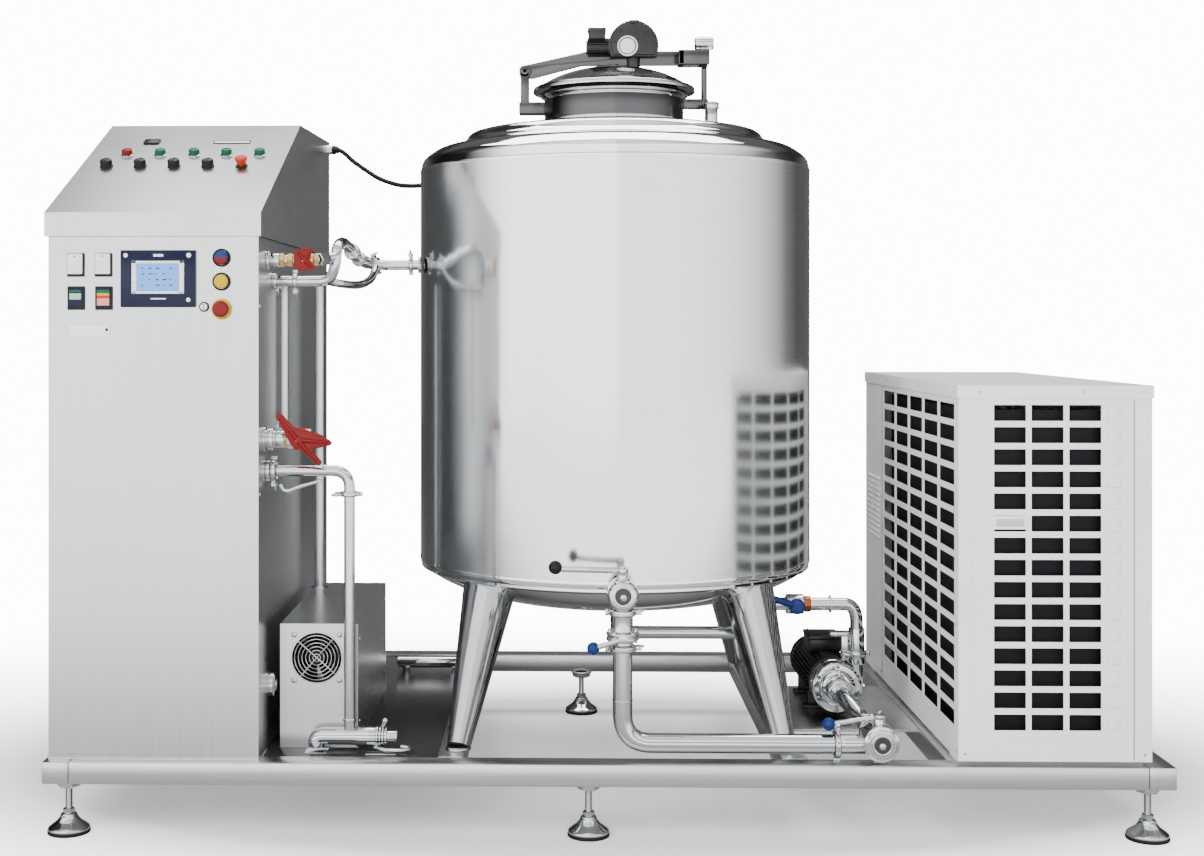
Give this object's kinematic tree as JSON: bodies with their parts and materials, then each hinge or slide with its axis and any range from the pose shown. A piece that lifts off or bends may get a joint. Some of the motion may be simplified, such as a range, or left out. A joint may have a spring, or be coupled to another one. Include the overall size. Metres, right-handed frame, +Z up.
{
  "type": "bulk milk tank",
  "caption": "Skid-mounted bulk milk tank: control cabinet, insulated upright tank with hinged manway and agitator, pump line and condensing unit.",
  "frame": {"origin": "on the floor under the middle of the skid", "axes": "+Z up, +X to the condensing unit, -Y to the operator's side"},
  "size_m": [2.5, 1.25, 1.924],
  "materials": {
    "black_paint": "black enamel",
    "black_plastic": "black plastic",
    "blue_plastic": "blue plastic",
    "brushed_steel": "fine brushed stainless sheet",
    "cast_housing": "cast gear housing",
    "coil_fins": "dark coil fins",
    "dark_sheet": "dark wet-look deck sheet",
    "foam": "rigid insulating foam",
    "foot_steel": "rubber pad on a steel stud",
    "grey_paint": "grey enamel",
    "polished_steel": "polished stainless",
    "red_plastic": "red plastic",
    "rubber": "black rubber",
    "white_plastic": "white bezel with a blue screen",
    "yellow_plastic": "yellow plastic"
  },
  "bodies": {
    "machine": {"base_frame": "brushed_steel", "deck_plate": "dark_sheet", "outer_jacket": "brushed_steel", "insulation": "foam", "inner_vessel": "polished_steel", "tank_leg_front_left": "polished_steel", "tank_leg_front_right": "polished_steel", "tank_leg_rear_left": "polished_steel", "tank_leg_rear_right": "polished_steel", "lid_seal": "rubber", "outlet_valve": "polished_steel", "butterfly_valve": "polished_steel", "outlet_pipe": "polished_steel", "pump_valve": "polished_steel", "milk_pump": "polished_steel", "pump_motor": "brushed_steel", "return_pipe": "polished_steel", "cabinet_body": "brushed_steel", "console_hood": "brushed_steel", "control_plate": "grey_paint", "touch_panel": "white_plastic", "inlet_pipe": "polished_steel", "drain_pipe": "polished_steel", "fan_box": "brushed_steel", "chiller_frame": "brushed_steel", "chiller_top": "brushed_steel", "chiller_front_grille": "brushed_steel", "chiller_side_grille": "brushed_steel", "chiller_coil": "coil_fins", "compressor": "black_paint", "power_cable": "rubber"},
    "lid": {"manway_lid": "polished_steel", "lid_arm": "brushed_steel", "agitator_drive": "cast_housing"},
    "foot_front_left": {"foot_front_left": "foot_steel"},
    "foot_front_middle": {"foot_front_middle": "foot_steel"},
    "foot_front_right": {"foot_front_right": "foot_steel"},
    "foot_rear_left": {"foot_rear_left": "foot_steel"},
    "foot_rear_middle": {"foot_rear_middle": "foot_steel"},
    "foot_rear_right": {"foot_rear_right": "foot_steel"},
    "swing_bolt": {"swing_bolt": "polished_steel"},
    "t_handle": {"t_handle": "polished_steel"},
    "agitator": {"agitator": "polished_steel"},
    "outlet_lever": {"outlet_lever": "black_plastic"},
    "butterfly_lever": {"butterfly_lever": "blue_plastic"},
    "pump_valve_lever": {"pump_valve_lever": "blue_plastic"},
    "return_lever": {"return_lever": "blue_plastic"},
    "selector_1": {"selector_1": "black_plastic"},
    "selector_2": {"selector_2": "black_plastic"},
    "selector_3": {"selector_3": "black_plastic"},
    "selector_4": {"selector_4": "black_plastic"},
    "stop_button": {"stop_button": "red_plastic"},
    "two_colour_button": {"two_colour_button": "blue_plastic"},
    "yellow_button": {"yellow_button": "yellow_plastic"},
    "emergency_stop": {"emergency_stop": "red_plastic"},
    "key_switch": {"key_switch": "polished_steel"},
    "inlet_valve_handle": {"inlet_valve_handle": "red_plastic"},
    "mid_valve_handle": {"mid_valve_handle": "red_plastic"},
    "fan_rotor": {"fan_rotor": "black_plastic"},
    "chiller_fan": {"chiller_fan": "black_plastic"}
  },
  "joints": [
    {"name": "foot_front_left_level", "type": "slide", "parent": "machine", "child": "foot_front_left", "axis": [0, 0, -1], "range_m": [0, 0.03]},
    {"name": "foot_front_middle_level", "type": "slide", "parent": "machine", "child": "foot_front_middle", "axis": [0, 0, -1], "range_m": [0, 0.03]},
    {"name": "foot_front_right_level", "type": "slide", "parent": "machine", "child": "foot_front_right", "axis": [0, 0, -1], "range_m": [0, 0.03]},
    {"name": "foot_rear_left_level", "type": "slide", "parent": "machine", "child": "foot_rear_left", "axis": [0, 0, -1], "range_m": [0, 0.03]},
    {"name": "foot_rear_middle_level", "type": "slide", "parent": "machine", "child": "foot_rear_middle", "axis": [0, 0, -1], "range_m": [0, 0.03]},
    {"name": "foot_rear_right_level", "type": "slide", "parent": "machine", "child": "foot_rear_right", "axis": [0, 0, -1], "range_m": [0, 0.03]},
    {"name": "lid_open", "type": "hinge", "parent": "machine", "child": "lid", "pos_m": [-0.19, 0, 1.794], "axis": [0, -1, 0], "range_deg": [0, 100]},
    {"name": "bolt_swing", "type": "hinge", "parent": "machine", "child": "swing_bolt", "pos_m": [0.273, 0, 1.712], "axis": [0, 1, 0], "range_deg": [0, 90]},
    {"name": "t_handle_turn", "type": "hinge", "parent": "swing_bolt", "child": "t_handle", "pos_m": [0.273, 0, 1.867], "axis": [0, 0, 1], "range_deg": [0, 90]},
    {"name": "agitator_spin", "type": "hinge", "parent": "machine", "child": "agitator", "pos_m": [0.09, 0, 1], "axis": [0, 0, 1], "continuous": true},
    {"name": "outlet_turn", "type": "hinge", "parent": "machine", "child": "outlet_lever", "pos_m": [0.04, -0.575, 0.59], "axis": [0, 0, 1], "range_deg": [0, 90]},
    {"name": "butterfly_turn", "type": "hinge", "parent": "machine", "child": "butterfly_lever", "pos_m": [0.04, -0.619, 0.445], "axis": [0, -1, 0], "range_deg": [0, 90]},
    {"name": "pump_valve_turn", "type": "hinge", "parent": "machine", "child": "pump_valve_lever", "pos_m": [0.61, -0.575, 0.268], "axis": [0, 0, 1], "range_deg": [0, 90]},
    {"name": "return_turn", "type": "hinge", "parent": "machine", "child": "return_lever", "pos_m": [0.475, -0.249, 0.456], "axis": [0, -1, 0], "range_deg": [0, 90]},
    {"name": "selector_1_turn", "type": "hinge", "parent": "machine", "child": "selector_1", "pos_m": [-1.183, -0.344, 1.51713], "axis": [0, -0.4287, 0.9034], "range_deg": [-45, 45]},
    {"name": "selector_2_turn", "type": "hinge", "parent": "machine", "child": "selector_2", "pos_m": [-1.102, -0.344, 1.51713], "axis": [0, -0.4287, 0.9034], "range_deg": [-45, 45]},
    {"name": "selector_3_turn", "type": "hinge", "parent": "machine", "child": "selector_3", "pos_m": [-1.021, -0.344, 1.51713], "axis": [0, -0.4287, 0.9034], "range_deg": [-45, 45]},
    {"name": "selector_4_turn", "type": "hinge", "parent": "machine", "child": "selector_4", "pos_m": [-0.94, -0.344, 1.51713], "axis": [0, -0.4287, 0.9034], "range_deg": [-45, 45]},
    {"name": "stop_press", "type": "slide", "parent": "machine", "child": "stop_button", "axis": [0, 0.4287, -0.9034], "range_m": [0, 0.004], "stiffness_N_per_m": 400},
    {"name": "two_colour_press", "type": "slide", "parent": "machine", "child": "two_colour_button", "axis": [0, 1, 0], "range_m": [0, 0.003], "stiffness_N_per_m": 400},
    {"name": "yellow_press", "type": "slide", "parent": "machine", "child": "yellow_button", "axis": [0, 1, 0], "range_m": [0, 0.003], "stiffness_N_per_m": 400},
    {"name": "emergency_press", "type": "slide", "parent": "machine", "child": "emergency_stop", "axis": [0, 1, 0], "range_m": [0, 0.005], "stiffness_N_per_m": 400},
    {"name": "key_turn", "type": "hinge", "parent": "machine", "child": "key_switch", "pos_m": [-0.891, -0.605, 1.179], "axis": [0, -1, 0], "range_deg": [0, 90]},
    {"name": "inlet_valve_turn", "type": "hinge", "parent": "machine", "child": "inlet_valve_handle", "pos_m": [-0.68, -0.523, 1.287], "axis": [0, 1, 0], "range_deg": [0, 90]},
    {"name": "mid_valve_turn", "type": "hinge", "parent": "machine", "child": "mid_valve_handle", "pos_m": [-0.69, -0.552, 0.88], "axis": [0, 1, 0], "range_deg": [0, 90]},
    {"name": "fan_spin", "type": "hinge", "parent": "machine", "child": "fan_rotor", "pos_m": [-0.66, -0.453, 0.372], "axis": [0, 1, 0], "continuous": true},
    {"name": "chiller_fan_spin", "type": "hinge", "parent": "machine", "child": "chiller_fan", "pos_m": [1, -0.48, 0.59], "axis": [0, 1, 0], "continuous": true}
  ]
}
